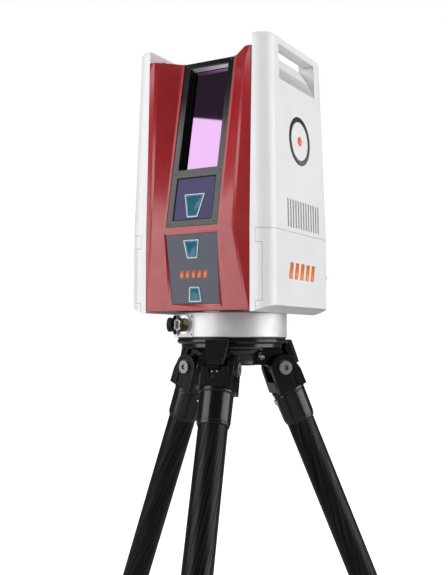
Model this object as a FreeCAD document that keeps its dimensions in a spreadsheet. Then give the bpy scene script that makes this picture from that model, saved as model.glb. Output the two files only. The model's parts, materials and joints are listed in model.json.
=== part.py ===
import FreeCAD, Part
import math
import os
import re
import Sketcher

# A terrestrial laser scanner on a three-legged stand. Millimetres and degrees, +Z up, front towards -Y.
# The origin is on the axis that the head turns about, where the plumb-hook thread opens under the hub.
SIZES = {
    # main levels and radii
    "seat": 44, "ring_radius": 87.5, "ring_wall": 9, "ring_top": 82.5,
    "cover_low": 84, "shell_low": 81, "hollow_low": 93.5, "floor_low": 87.6, "floor_thick": 6,
    "nose_level": 204, "cover_top": 475, "shell_top": 495,
    # side shells and doors
    "split_x": 90.5, "seam": 0.25, "shell_x": 124, "shell_x_top": 117, "shell_y": 110, "shell_y_top": 101.4,
    "corner": 23, "top_round": 4, "wall": 3.5, "door_seam_x": 110, "door_tab_x": 100, "tab_low": 97,
    "tab_high": 181, "door_gap": 0.5, "vent_first": -50, "vent_pitch": 9.2, "vent_width": 4.4,
    "grip_front": -67, "grip_rear": 62, "grip_low": 429, "grip_high": 483, "grip_sill": 474.4,
    "grip_inner": 98,
    # front and rear covers
    "nose_y": -125.7, "nose_x": 71, "ridge_x": 80, "front_edge_top": -103, "foot_y": -110, "foot_x": 89.2,
    "ridge_flat": 0.11, "valley_x": 48.5, "valley_y_top": -72, "cover_split": -60, "rear_split": 60,
    "rear_y": 118, "rear_x": 76, "rear_top_y": 109, "shaft_opening": 76,
    "display_x": 60, "display_low": 320, "display_high": 400, "button_level": 296, "button_radius": 7,
    # window frame and panel; both lean on the cover's facets
    "frame_lean": 11.7, "frame_level": 209, "frame_length": 271.7, "frame_x": 44.5, "opening_x": 34,
    "camera_low": 10, "camera_high": 78, "mirror_low": 91.5, "mirror_high": 262.3, "tunnel": 12,
    "panel_lean": 7.7, "panel_level": 93.6, "panel_length": 104.6, "panel_x_low": 41.4, "panel_x_high": 44.4,
    # scanning mirror, what drives it, and the cooling fan
    "mirror_y": -18, "mirror_level": 382, "mirror_radius": 38, "mirror_half": 33, "upright_x": 52,
    "shaft_radius": 5, "race_radius": 9, "fan_x": 105, "fan_y": 7, "fan_level": 233, "fan_radius": 24,
    # base
    "spindle_radius": 30, "boss_turn": -12.5, "boss_face": 88.3, "boss_left": -42, "boss_right": -1,
    "plug_x": -18.2, "plug_level": 63.2, "plug_radius": 10, "pin_depth": 6, "yoke_reach": 17.3,
    "yoke_y": -92.5, "cap_open": 62,
    # tripod
    "platform_radius": 86.8, "platform_thick": 10, "hub_radius": 42, "flare_radius": 80, "arm_pin_radius": 47,
    "hinge_radius": 79.5, "hinge_level": -4, "splay": 22.9, "first_leg": -74.8, "lug_radius": 17,
    "lug_half": 16.7, "ear_radius": 21.5, "ear_in": 17.1, "ear_out": 28, "bolt_radius": 6, "bolt_head": 10.6,
    "block_low": -36, "block_high": -16.5, "brow_high": -5, "block_out": 25, "block_in": -24,
    "sleeve_low": -91, "tube_radius": 22.2, "tube_low": -430,
    "lock_high": -418, "lock_low": -470, "inner_radius": 18.8, "inner_high": -120, "inner_low": -530,
    "foot_radius": 21, "foot_level": -541,
}
LEGS = (1, 2, 3)
LEG_STEP = 120
VENT_SLOTS = 13
FAN_BLADES = 7

doc = FreeCAD.newDocument("terrestrial_laser_scanner")
sheet = doc.addObject("Spreadsheet::Sheet", "dims")
for row, (word, number) in enumerate(SIZES.items(), 1):
    sheet.set(f"A{row}", str(number))
    sheet.setAlias(f"A{row}", word)
doc.recompute()

WORD = re.compile(r"\b(" + "|".join(SIZES) + r")\b")
subparts = []


# ---------------------------------------------------------------- tools for building with the sheet
def tied(expression):
    """The expression with each of the sheet's words written as a reference to its cell."""
    return WORD.sub(r"dims.\1", str(expression))


def size(expression):
    """What an expression comes to."""
    return float(sheet.evalExpression(tied(expression)))


def bind(item, **links):
    for name, expression in links.items():
        item.setExpression(name, tied(expression))
    return item


def put(item, at=(0, 0, 0), turn=(0, 0, 0)):
    """Binds an object's place, and its yaw, pitch and roll."""
    for axis, expression in zip("xyz", at):
        item.setExpression("Placement.Base." + axis, tied(expression))
    for angle, expression in zip(("Yaw", "Pitch", "Roll"), turn):
        item.setExpression("Placement.Rotation." + angle, tied(expression))
    return item


def carried(item, at, turn):
    """Moves a finished piece as a whole, whatever its own place binds."""
    carrier = doc.addObject("Part::Compound", "carried")
    carrier.Links = [item]
    return put(carrier, at, turn)


def node(label, item):
    """Names a finished sub-part."""
    item.Label = label
    subparts.append(item)
    return item


def slab(x, y, z):
    """A block between pairs of expressions along each axis."""
    item = doc.addObject("Part::Box", "slab")
    bind(item, Length=f"({x[1]}) - ({x[0]})", Width=f"({y[1]}) - ({y[0]})", Height=f"({z[1]}) - ({z[0]})")
    return put(item, (x[0], y[0], z[0]))


def rod(radius, z, at=(0, 0)):
    """An upright cylinder between two levels."""
    item = doc.addObject("Part::Cylinder", "rod")
    bind(item, Radius=radius, Height=f"({z[1]}) - ({z[0]})")
    return put(item, (*at, z[0]))


def axle(radius, x, y, level):
    """A cylinder along X."""
    item = doc.addObject("Part::Cylinder", "axle")
    bind(item, Radius=radius, Height=f"({x[1]}) - ({x[0]})")
    return put(item, (x[0], y, level), (0, 90, 0))


def bar(radius, y, x=0, level=0):
    """A cylinder along Y."""
    item = doc.addObject("Part::Cylinder", "bar")
    bind(item, Radius=radius, Height=f"({y[1]}) - ({y[0]})")
    return put(item, (x, y[0], level), (0, 0, -90))


def join(*items):
    item = doc.addObject("Part::MultiFuse", "join")
    item.Shapes = list(items)
    return item


def overlap(*items):
    item = doc.addObject("Part::MultiCommon", "overlap")
    item.Shapes = list(items)
    return item


def cut(base, *tools):
    item = doc.addObject("Part::Cut", "cut")
    item.Base = base
    item.Tool = tools[0] if len(tools) == 1 else join(*tools)
    return item


def mirrored(source):
    """The same piece on the other side of the plane X = 0."""
    item = doc.addObject("Part::Mirroring", "mirrored")
    item.Source = source
    item.Normal = (1, 0, 0)
    return item


def group(*items):
    """Several separate solids as one sub-part."""
    item = doc.addObject("Part::Compound", "group")
    item.Links = list(items)
    return item


def softened(item, radius, wanted):
    """Rounds the edges that the test picks."""
    doc.recompute()
    picked = [(i, radius, radius) for i, edge in enumerate(item.Shape.Edges, 1) if wanted(edge)]
    result = doc.addObject("Part::Fillet", "softened")
    result.Base = item
    result.Edges = picked
    return result


def outline(body, role, corners, lift=0):
    """A closed outline of straight sides on one of the body's own planes."""
    sketch = body.newObject("Sketcher::SketchObject", "outline")
    plane = next(part for part in body.Origin.OriginFeatures if part.Role == role)
    sketch.AttachmentSupport = [(plane, "")]
    sketch.MapMode = "FlatFace"
    sketch.setExpression("AttachmentOffset.Base.z", tied(lift))
    spots = [FreeCAD.Vector(size(a), size(b), 0) for a, b in corners]
    count = len(spots)
    for i in range(count):
        sketch.addGeometry(Part.LineSegment(spots[i], spots[(i + 1) % count]), False)
    for i in range(count):
        sketch.addConstraint(Sketcher.Constraint("Coincident", i, 2, (i + 1) % count, 1))
    fix_corners(sketch, corners)
    return sketch


def fix_corners(sketch, corners):
    """Binds where each line or arc of an outline starts."""
    for i, pair in enumerate(corners):
        for kind, expression in zip(("DistanceX", "DistanceY"), pair):
            index = sketch.addConstraint(Sketcher.Constraint(kind, -1, 1, i, 1, size(expression)))
            sketch.setExpression(f"Constraints[{index}]", tied(expression))


def prism(role, corners, start, depth):
    """An outline padded along its plane's normal, which is +Z, -Y or +X for XY, XZ or YZ."""
    body = doc.addObject("PartDesign::Body", "prism")
    pad = body.newObject("PartDesign::Pad", "pad")
    pad.Profile = outline(body, role + "_Plane", corners, start)
    bind(pad, Length=depth)
    body.Tip = pad
    return body


def turned(corners):
    """A profile of radius and level pairs, turned about the Z axis."""
    body = doc.addObject("PartDesign::Body", "turned")
    sketch = outline(body, "XZ_Plane", corners)
    spin = body.newObject("PartDesign::Revolution", "spin")
    spin.Profile = sketch
    spin.ReferenceAxis = (sketch, ["V_Axis"])
    spin.Angle = 360
    body.Tip = spin
    return body


def lofted(sections):
    """Straight facets between level outlines, given from the lowest up."""
    body = doc.addObject("PartDesign::Body", "lofted")
    return loft_through(body, [outline(body, "XY_Plane", corners, level) for level, corners in sections])


def loft_through(body, sketches):
    loft = body.newObject("PartDesign::AdditiveLoft", "loft")
    loft.Profile = sketches[0]
    loft.Sections = [(sketch, [""]) for sketch in sketches[1:]]
    loft.Ruled = True
    body.Tip = loft
    return body


def both_sides(half):
    """A half outline on the +X side, from back to middle, and its mirror image."""
    return half + [(f"-({x})", y) for x, y in reversed(half)]


# ---------------------------------------------------------------- side shells and doors
def shell_outline(body, x_out, y_out, radius, level, x_in):
    """A shell's plan at one level: flat inside, rounded at its two outer corners."""
    sketch = outline(body, "XY_Plane", [], level)
    inner, outer, half, r = size(x_in), size(x_out), size(y_out), size(radius)
    x, y = outer - r, half - r
    spots = [(inner, -half), (x, -half), (outer, -y), (outer, y), (x, half), (inner, half)]
    vectors = [FreeCAD.Vector(a, b, 0) for a, b in spots]
    up = FreeCAD.Vector(0, 0, 1)
    quarter = math.pi / 2
    for i in range(6):
        if i in (1, 3):
            circle = Part.Circle(FreeCAD.Vector(x, -y if i == 1 else y, 0), up, r)
            start = -quarter if i == 1 else 0
            sketch.addGeometry(Part.ArcOfCircle(circle, start, start + quarter), False)
        else:
            sketch.addGeometry(Part.LineSegment(vectors[i], vectors[(i + 1) % 6]), False)
    for i in range(6):
        sketch.addConstraint(Sketcher.Constraint("Coincident", i, 2, (i + 1) % 6, 1))
    flat = f"({x_out}) - ({radius})"
    side = f"({y_out}) - ({radius})"
    places = [(x_in, f"-({y_out})"), (flat, f"-({y_out})"), (x_out, f"-({side})"), (x_out, side),
              (flat, y_out), (x_in, y_out)]
    fix_corners(sketch, places)
    for i in (1, 3):
        index = sketch.addConstraint(Sketcher.Constraint("Radius", i, r))
        sketch.setExpression(f"Constraints[{index}]", tied(radius))
    return sketch


def shell_block(inset=0, low="shell_low", high="shell_top"):
    """The right shell's outer form, or its inside when inset by the wall."""
    x_in = "split_x + seam" if inset == 0 else "split_x - 5"
    narrow = f"(({high}) - nose_level) / (shell_top - nose_level)"
    x_top = f"shell_x - {inset} - (shell_x - shell_x_top) * {narrow}"
    y_top = f"shell_y - {inset} - (shell_y - shell_y_top) * {narrow}"
    body = doc.addObject("PartDesign::Body", "shell")
    plans = [(f"shell_x - {inset}", f"shell_y - {inset}", f"corner - {inset}", low),
             (f"shell_x - {inset}", f"shell_y - {inset}", f"corner - {inset}", "nose_level")]
    if inset:
        plans.append((x_top, y_top, f"corner - {inset}", high))
    else:
        for slope in (0, 30, 60, 90):
            back = f"top_round * (1 - cos({slope}))"
            plans.append((f"{x_top} - {back}", f"{y_top} - {back}", f"corner - {back}",
                          f"{high} - top_round * (1 - sin({slope}))"))
    return loft_through(body, [shell_outline(body, *plan, x_in) for plan in plans])


def handle_cut():
    """The finger pocket below a shell's top bar: its floor slopes up to a sill, and the bar is bevelled behind."""
    section = [("shell_x + 8", "grip_low"), ("shell_x_top + 0.6", "grip_low"), ("107", "grip_low + 26"),
               ("95", "grip_sill"), ("split_x - 8", "grip_sill"), ("split_x - 8", "grip_high + 12.4"),
               ("grip_inner", "grip_high"), ("shell_x + 8", "grip_high")]
    return prism("XZ", section, "-grip_rear", "grip_rear - grip_front")


def vent_cut():
    """A row of upright slots through the right shell's side."""
    slots = []
    for i in range(VENT_SLOTS):
        start = f"vent_first + vent_pitch * {i}"
        slots.append(slab(("shell_x - 9", "shell_x + 5"), (start, f"{start} + vent_width"),
                          ("nose_level + 5", "nose_level + 48")))
    return join(*slots)


def door_region(gap):
    """What belongs to the door: everything outside its seam, with a tab above and below the hinge knuckle."""
    far_x, far_y = "shell_x + 5", "shell_y + 5"
    across = (f"-({far_y})", far_y)
    top, bottom = f"nose_level - 2 - {gap}", "shell_low - 5"
    return join(slab((f"door_seam_x + {gap}", far_x), across, (bottom, top)),
                slab((f"door_tab_x + {gap}", far_x), across, (f"tab_high + {gap}", top)),
                slab((f"door_tab_x + {gap}", far_x), across, (bottom, f"tab_low - {gap}")))


def underside_cut():
    """The slope under a shell, from its side face in to its lowest edge."""
    section = [("shell_x + 1", "shell_low + 9.4"), ("shell_x + 1", "shell_low - 6"), ("95", "shell_low - 6"),
               ("95", "shell_low")]
    return prism("XZ", section, "-shell_y - 6", "2 * shell_y + 12")


def side_shells():
    body = cut(shell_block(), shell_block("wall", "hollow_low", "grip_low - 5"), underside_cut(),
               handle_cut(), vent_cut(), door_region(0))
    right = node("side_shell_right", body)
    node("side_shell_left", mirrored(right))


def battery_doors():
    skin = cut(shell_block(), shell_block("wall", "hollow_low", "grip_low - 5"), underside_cut())
    right = node("battery_door_right", overlap(skin, door_region("door_gap")))
    node("battery_door_left", mirrored(right))


def vent_screens():
    screen = slab(("shell_x - 6.4", "shell_x - 5.2"), (-54, 69), ("nose_level + 1", "nose_level + 52"))
    node("vent_screens", group(screen, mirrored(screen)))


# ---------------------------------------------------------------- front, rear and top covers
def front_half(edge_y, ridge, floor, inset=0):
    """Half of a level outline: cover's edge, ridge and window valley."""
    back = "cover_split" if inset == 0 else "cover_split + 5"
    corners = [(f"split_x - seam - {inset}", back), (f"split_x - seam - {inset}", f"{edge_y} + {inset}"),
               (f"{ridge[0]} - {inset} * 0.6", f"{ridge[1]} + {inset}"),
               (f"{floor[0]} - {inset} * 0.4", f"{floor[1]} + {inset}")]
    if inset:
        return corners
    return corners[:2] + [between(corners[2], corners[1], "ridge_flat"),
                          between(corners[2], corners[3], "ridge_flat")] + corners[3:]


def between(start, end, share):
    """A point part of the way from one corner to another."""
    return tuple(f"({a}) + (({b}) - ({a})) * {share}" for a, b in zip(start, end))


def front_block(inset=0):
    low = front_half("foot_y + 0.4", ("foot_x", "foot_y"), ("valley_x", "foot_y"), inset)
    nose = front_half("-shell_y", ("nose_x", "nose_y"), ("valley_x", "nose_y"), inset)
    top = front_half("front_edge_top", ("ridge_x", "front_edge_top"), ("valley_x", "valley_y_top"), inset)
    return lofted([(f"cover_low + {inset}", both_sides(low)), ("nose_level", both_sides(nose)),
                   (f"cover_top - {inset}", both_sides(top))])


def on_frame(item):
    """Puts a piece drawn flat, with Y up the window frame and Z out of its face, on the leaning frame."""
    return put(item, (0, "nose_y + (frame_level - nose_level) * tan(frame_lean)", "frame_level"),
               (0, 0, "90 - frame_lean"))


def on_panel(item):
    """The same for the lower panel, whose top comes forward."""
    return put(item, (0, "nose_y + (nose_level - panel_level) * tan(panel_lean)", "panel_level"),
               (0, 0, "90 + panel_lean"))


def plate(x, y, z):
    """A flat rectangular plate as a prism, to be put on the frame or the panel."""
    return prism("XY", [(x[0], y[0]), (x[1], y[0]), (x[1], y[1]), (x[0], y[1])], z[0], f"({z[1]}) - ({z[0]})")


def panel_plate(margin, low, high):
    corners = [(f"-panel_x_low - {margin}", f"-({margin})"), (f"panel_x_low + {margin}", f"-({margin})"),
               (f"panel_x_high + {margin}", f"panel_length + {margin}"),
               (f"-panel_x_high - {margin}", f"panel_length + {margin}")]
    return on_panel(prism("XY", corners, low, f"({high}) - ({low})"))


def front_cover():
    window = on_frame(plate(("-frame_x - 0.3", "frame_x + 0.3"), ("-0.3", "frame_length + 0.3"), (-30, 12)))
    body = cut(front_block(), front_block("wall"), window, panel_plate(0.3, -2.4, 6), shaft_opening())
    node("front_cover", body)


def shaft_opening():
    return rod("shaft_opening", ("cover_low - 5", "cover_low + 20"))


def rear_half(edge_y, ridge, inset=0):
    front = "rear_split" if inset == 0 else "rear_split - 5"
    return [(f"split_x - seam - {inset}", front), (f"split_x - seam - {inset}", f"{edge_y} - {inset}"),
            (f"{ridge[0]} - {inset} * 0.6", f"{ridge[1]} - {inset}")]


def rear_block(inset=0):
    low = rear_half("-foot_y - 0.4", ("foot_x", "-foot_y"), inset)
    middle = rear_half("shell_y", ("rear_x", "rear_y"), inset)
    top = rear_half("-front_edge_top", ("rear_x", "rear_top_y"), inset)
    return lofted([(f"cover_low + {inset}", both_sides(low)), ("nose_level", both_sides(middle)),
                   (f"cover_top - {inset}", both_sides(top))])


def rear_cover():
    display_hole = slab(("-display_x - 0.3", "display_x + 0.3"), ("rear_top_y - 1.2", "rear_y + 7"),
                        ("display_low - 0.3", "display_high + 0.3"))
    button_hole = bar("button_radius + 0.4", ("rear_top_y - 9", "rear_y + 7"), 0, "button_level")
    node("rear_cover", cut(rear_block(), rear_block("wall"), display_hole, button_hole, shaft_opening()))
    node("display", slab(("-display_x", "display_x"), ("rear_top_y - 1", "rear_y - 4.4"),
                         ("display_low", "display_high")))
    button = join(bar("button_radius", ("rear_top_y - 1", "rear_y - 2"), 0, "button_level"),
                  bar("button_radius + 2", ("rear_top_y - 2.5", "rear_top_y - 0.6"), 0, "button_level"))
    node("power_button", button)


def top_cover():
    deck = slab(("-split_x + seam", "split_x - seam"), ("cover_split + seam", "rear_split - seam"),
                ("cover_top - wall - 1", "cover_top"))
    boss = rod(17, ("cover_top - 20", "cover_top + 3"))
    thread = rod(6.8, ("cover_top - 15", "cover_top + 4"))
    node("top_cover", cut(join(deck, boss), thread))


# ---------------------------------------------------------------- windows, panel and indicator lenses
def window_frame():
    face = plate(("-frame_x", "frame_x"), (0, "frame_length"), (-4, 0))
    tunnel = plate(("-opening_x - 2.5", "opening_x + 2.5"), ("mirror_low - 2.5", "mirror_high + 2.5"),
                   ("-tunnel - 3", -3.5))
    mirror_hole = plate(("-opening_x", "opening_x"), ("mirror_low", "mirror_high"), ("-tunnel - 5", 2))
    camera_hole = plate(("-opening_x", "opening_x"), ("camera_low", "camera_high"), (-6, 2))
    node("window_frame", on_frame(cut(join(face, tunnel), mirror_hole, camera_hole)))
    across = ("-opening_x + 0.1", "opening_x - 0.1")
    mirror_pane = plate(across, ("mirror_low + 0.1", "mirror_high - 0.1"), ("-tunnel - 3", "-tunnel"))
    camera_pane = plate(across, ("camera_low + 0.1", "camera_high - 0.1"), (-3.4, -1.4))
    node("mirror_window", on_frame(mirror_pane))
    node("camera_window", on_frame(camera_pane))
    node("lower_panel", panel_plate(0, -2.3, 0))


def lens(half_low, half_high, low, high, base):
    """A trapezoid lens on a face, drawn flat like the face it lies on."""
    corners = [(f"-{half_low}", low), (half_low, low), (half_high, high), (f"-{half_high}", high)]
    return prism("XY", corners, base, 0.9)


def indicator_lenses():
    upper = on_frame(lens(9.2, 17.9, 14, 51, -1.4))
    middle = on_panel(lens(8.8, 13.6, 68.2, 95.7, 0))
    lower = on_panel(lens(11.1, 8.8, 3, 25.6, 0))
    node("indicator_lenses", group(upper, middle, lower))


# ---------------------------------------------------------------- inside the head
def chassis():
    top = "cover_top - 30"
    floor = ("floor_low", "floor_low + floor_thick")
    above = ("floor_low + floor_thick - 1", top)
    uprights = [slab((f"{side} * (upright_x + 3) - 3", f"{side} * (upright_x + 3) + 3"), (-45, 80), above)
                for side in (-1, 1)]
    back = slab(("-upright_x", "upright_x"), (76, 80), above)
    shaft_hole = axle("race_radius", ("-upright_x - 10", "upright_x + 10"), "mirror_y", "mirror_level")
    node("chassis", cut(join(rod(84, floor), *uprights, back), rod(22, ("floor_low - 1", "floor_low + 9")),
                        shaft_hole))


def scan_mirror():
    """A bar mirror of triangular section, one piece with its shaft, with ball races in the uprights."""
    third = "mirror_radius * cos(30)"
    corners = [("0", "mirror_radius"), (f"-({third})", "-mirror_radius / 2"), (third, "-mirror_radius / 2")]
    drum = prism("YZ", corners, "-mirror_half", "2 * mirror_half")
    put(drum, (0, "mirror_y", "mirror_level"))
    shaft = axle("shaft_radius", ("-upright_x - 8", "upright_x + 8"), "mirror_y", "mirror_level")
    node("scan_mirror", join(drum, shaft))
    races = []
    for side in (-1, 1):
        middle = f"{side} * (upright_x + 3)"
        races.append(cut(axle("race_radius", (f"{middle} - 3", f"{middle} + 3"), "mirror_y", "mirror_level"),
                         axle("shaft_radius + 0.05", ("-upright_x - 20", "upright_x + 20"),
                              "mirror_y", "mirror_level")))
    node("mirror_bearings", group(*races))
    motor = cut(axle(21, ("upright_x - 17", "upright_x"), "mirror_y", "mirror_level"),
                axle("shaft_radius + 0.4", ("upright_x - 20", "upright_x + 5"), "mirror_y", "mirror_level"))
    node("mirror_motor", motor)


def electronics():
    node("rangefinder", join(slab((-32, 32), (-22, 62), (255, 322)), bar(16, (-40, -20), 0, 290)))
    node("camera_module", join(slab((-28, 28), (-94, -62), (224, 282)), bar(15, (-107, -93), 0, 252)))
    node("main_board", slab((-46, 46), (70, 73), (110, 240)))
    pack = slab((94, 115), (-78, 78), (96, 178))
    node("battery_right", pack)
    node("battery_left", mirrored(pack))


def cooling_fan():
    half = "fan_radius + 3"
    frame = slab(("fan_x - 7", "fan_x + 7"), (f"fan_y - ({half})", f"fan_y + {half}"),
                 (f"fan_level - ({half})", f"fan_level + {half}"))
    bowl = axle("fan_radius", ("fan_x - 4", "fan_x + 9"), "fan_y", "fan_level")
    pin_hole = axle(2.05, ("fan_x - 9", "fan_x + 9"), "fan_y", "fan_level")
    node("fan_housing", cut(frame, bowl, pin_hole))
    hub = axle(9, ("fan_x - 2.5", "fan_x + 6"), "fan_y", "fan_level")
    pin = axle(2, ("fan_x - 7", "fan_x"), "fan_y", "fan_level")
    blades = [fan_blade(360 * i / FAN_BLADES - 180) for i in range(FAN_BLADES)]
    node("fan_rotor", join(hub, pin, *blades))


def fan_blade(angle):
    """A blade pitched about its own length and turned about the fan's axis."""
    width, thick, pitch = 8, 1.6, 35
    blade = doc.addObject("Part::Box", "blade")
    bind(blade, Length=width, Width="fan_radius - 9.5", Height=thick)
    put(blade, (f"-{width} / 2 * cos({pitch}) - {thick} / 2 * sin({pitch})", 8,
                f"{width} / 2 * sin({pitch}) - {thick} / 2 * cos({pitch})"), (0, pitch, 0))
    return carried(blade, ("fan_x + 2", "fan_y", "fan_level"), (0, 0, angle))


# ---------------------------------------------------------------- base and azimuth drive
def base():
    wall_in = "ring_radius - ring_wall"
    ring = turned([(wall_in, "seat"), ("ring_radius - 1", "seat"), ("ring_radius", "seat + 1"),
                   ("ring_radius", "ring_top - 1.2"), ("ring_radius - 1.2", "ring_top"),
                   (wall_in, "ring_top")])
    node("base_ring", cut(ring, turned_boss(connector_hole())))
    node("base_plate", turned([(8, "seat"), (f"{wall_in} - 0.1", "seat"), (f"{wall_in} - 0.1", "seat + 6"),
                               (47, "seat + 6"), (47, "seat + 30"), (42, "seat + 30"), (42, "seat + 6"),
                               (8, "seat + 6")]))
    node("spindle", turned([("spindle_radius - 8", "seat + 7"), ("spindle_radius", "seat + 7"),
                            ("spindle_radius", "seat + 38"), (58, "seat + 38"), (58, "seat + 22"),
                            (64, "seat + 22"), (64, "floor_low"), ("spindle_radius - 8", "floor_low")]))
    node("azimuth_bearing", turned([("spindle_radius + 0.05", "seat + 12"), (42, "seat + 12"),
                                    (42, "seat + 30"), ("spindle_radius + 0.05", "seat + 30")]))
    node("drive_stator", turned([(64.6, "seat + 18"), (f"{wall_in} - 0.1", "seat + 18"),
                                 (f"{wall_in} - 0.1", "seat + 36"), (64.6, "seat + 36")]))


def turned_boss(item):
    """Turns a piece of the connector from the front to its own side of the ring."""
    return carried(item, (0, 0, 0), ("boss_turn", 0, 0))


def connector_hole():
    return bar(12.6, ("-boss_face - 5", "-boss_face + 25"), "plug_x", "plug_level")


def connector_boss():
    """A flat boss saddled on the ring, with the lug and pin that the plug cap swings about."""
    block = slab(("boss_left", "boss_right"), ("-boss_face", "-boss_face + 24"), ("seat + 0.5", "seat + 35"))
    sides = ("boss_left", "boss_right")
    saddle = softened(block, 3, lambda edge: edge.BoundBox.YLength > 5 and any(
        abs(edge.CenterOfMass.x - size(side)) < 0.1 for side in sides))
    saddle = cut(saddle, rod("ring_radius", ("seat - 5", "ring_top + 5")), connector_hole())
    pivot_x = "plug_x - yoke_reach"
    lug = slab((f"{pivot_x} - 2.4", f"{pivot_x} + 2.4"), ("yoke_y - 2.4", "-boss_face + 1"),
               ("plug_level - 6", "plug_level + 6"))
    pin = rod(1.2, ("plug_level - 15.4", "plug_level + 15.4"), (pivot_x, "yoke_y"))
    node("connector_boss", turned_boss(join(saddle, lug, pin)))


def connector():
    def along(radius, start, end):
        return bar(radius, (f"-boss_face + ({start})", f"-boss_face + ({end})"), "plug_x", "plug_level")

    shell = cut(join(along(14.7, -2.2, 0), along(12.5, 0, 10)), along("plug_radius", -4, 8.4))
    node("data_connector", turned_boss(shell))
    pins = []
    for i in range(7):
        spread = 0 if i == 6 else 6
        pins.append(bar(1, ("-boss_face + pin_depth", "-boss_face + 8.4"),
                        f"plug_x + {spread} * cos({60 * i})", f"plug_level + {spread} * sin({60 * i})"))
    node("connector_contacts", turned_boss(group(*pins)))


def connector_cap():
    """A cup-shaped plug cap on two arms that swing about the lug's pin; drawn shut, stored open."""
    arms = []
    for side in (-1, 1):
        corners = [("0", f"{side} * 14.4"), ("12", f"{side} * 9"), ("12", f"{side} * 4"),
                   ("0", f"{side} * 8.6")]
        arms.append(prism("XZ", corners, -1.2, 2.4))
        arms.append(rod(2.6, (f"{side} * 11.5 - 2.9", f"{side} * 11.5 + 2.9")))
    cup = bar(10.2, (-4.6, 1.2), "yoke_reach")
    hollow = bar(7.6, (-2.4, 2), "yoke_reach")
    body = cut(join(cup, *arms), hollow, rod(1.3, (-20, 20)))
    pivot_x = "(plug_x - yoke_reach)"
    node("connector_cap", carried(body, (f"{pivot_x} * cos(boss_turn) - yoke_y * sin(boss_turn)",
                                         f"{pivot_x} * sin(boss_turn) + yoke_y * cos(boss_turn)",
                                         "plug_level"),
                                  ("boss_turn - cap_open", 0, 0)))


# ---------------------------------------------------------------- tripod
def leg_angle(leg):
    return f"first_leg + {LEG_STEP * (leg - 1)}"


def around(item, leg):
    """Turns a piece drawn towards +X to the side of its leg."""
    return carried(item, (0, 0, 0), (leg_angle(leg), 0, 0))


def on_leg(item, leg):
    """Puts a piece drawn about the hinge, with the leg along -Z and its outer side at +X, on the leg."""
    turn = leg_angle(leg)
    return carried(item, (f"hinge_radius * cos({turn})", f"hinge_radius * sin({turn})", "hinge_level"),
                   (turn, "-splay", 0))


def tripod_head():
    under = "seat - platform_thick"
    node("tripod_platform", turned([(8.2, under), ("platform_radius - 3", under),
                                    ("platform_radius", f"{under} + 3"), ("platform_radius", "seat - 3.4"),
                                    ("platform_radius - 1.6", "seat - 2.8"),
                                    ("platform_radius - 1.6", "seat - 1.6"), ("platform_radius", "seat - 1"),
                                    ("platform_radius", "seat"), (8.2, "seat")]))
    hub = turned([(17, 0), ("hub_radius - 4", 0), ("hub_radius - 1", 2.5), ("hub_radius", 10),
                  ("hub_radius + 5", 18), ("hub_radius + 16", 24.5), ("flare_radius - 4", 27),
                  ("flare_radius", 28.6), ("flare_radius", under), (8.2, under), (8.2, 12), (17, 12)])
    pieces = [hub]
    for leg in LEGS:
        web = prism("XZ", [(30, 30), (78, 30), (81, 22), (86, 11), (88, 2), (84, -16),
                           ("hinge_radius - 4", -20), (56, 0), (30, 0)], -12, 24)
        lug = bar("lug_radius", ("-lug_half", "lug_half"), "hinge_radius", "hinge_level")
        arm = cut(join(web, lug), bar("bolt_radius + 0.05", (-30, 30), "hinge_radius", "hinge_level"),
                  bar(4.4, (-30, 30), "arm_pin_radius", 12), rod(17, (-5, 12)), rod(8.2, (10, 40)))
        pieces.append(around(arm, leg))
    node("tripod_spider", join(*pieces))
    screw = cut(join(rod(7.9, (6, "seat + 5.5")), rod(16, (0, 12))), rod(4, (-1, 14)))
    node("centre_screw", screw)
    bolts = []
    for leg in LEGS:
        shank = bar("bolt_radius", ("-ear_out - 1", "ear_out + 1"), "hinge_radius", "hinge_level")
        heads = join(bar("bolt_head", ("-ear_out - 4.4", "-ear_out - 0.3"), "hinge_radius", "hinge_level"),
                     bar("bolt_head", ("ear_out + 0.3", "ear_out + 4.4"), "hinge_radius", "hinge_level"))
        sockets = [prism("XZ", [(f"hinge_radius + 4.6 * cos({60 * i})", f"hinge_level + 4.6 * sin({60 * i})")
                                for i in range(6)], start, 3.6)
                   for start in ("ear_out + 0.9", "-ear_out - 4.5")]
        bolts.append(around(cut(join(shank, heads), *sockets), leg))
    node("hinge_bolts", group(*bolts))


def leg_shoulder(leg):
    """A clevis: two round-topped ears about the hinge, joined by a block that the sleeve stands under."""
    ears = []
    for start in ("ear_out", "-ear_in"):
        profile = prism("XZ", [("-ear_radius - 2", "block_low"), ("ear_radius + 3", "block_low"),
                               ("ear_radius + 3", -11), ("ear_radius", 0), ("-ear_radius", 0)],
                        f"-({start})", "ear_out - ear_in")
        crown = bar("ear_radius", (f"{start} - (ear_out - ear_in)", start))
        ears.append(join(profile, crown))
    block = prism("XY", [("block_in", -20), (-18, "-ear_out"), (19, "-ear_out"), ("block_out", -21),
                         ("block_out", 21), (19, "ear_out"), (-18, "ear_out"), ("block_in", 20)],
                  "block_low", "block_high - block_low")
    brow = slab(("block_out - 6.6", "block_out"), (-20, 20), ("block_high - 1", "brow_high"))
    side_slots = [slab((6, 11), (start, f"{start} + 3"), (-32, -15))
                  for start in ("-ear_out - 1", "ear_out - 2")]
    body = cut(join(*ears, block, brow), bar("bolt_radius + 0.03", (-40, 40)),
               bar("lug_radius + 1", ("-ear_in", "ear_in")), latch_recess(), *side_slots)
    node(f"leg_{leg}_shoulder", on_leg(body, leg))


def latch_recess():
    face = prism("YZ", [(-10.5, "brow_high + 1"), (-6.5, -24), (6.5, -24), (10.5, "brow_high + 1")], 18, 12)
    return join(face, slab((7, 20), (-5.3, 5.3), (-23, -18.2)))


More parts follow.
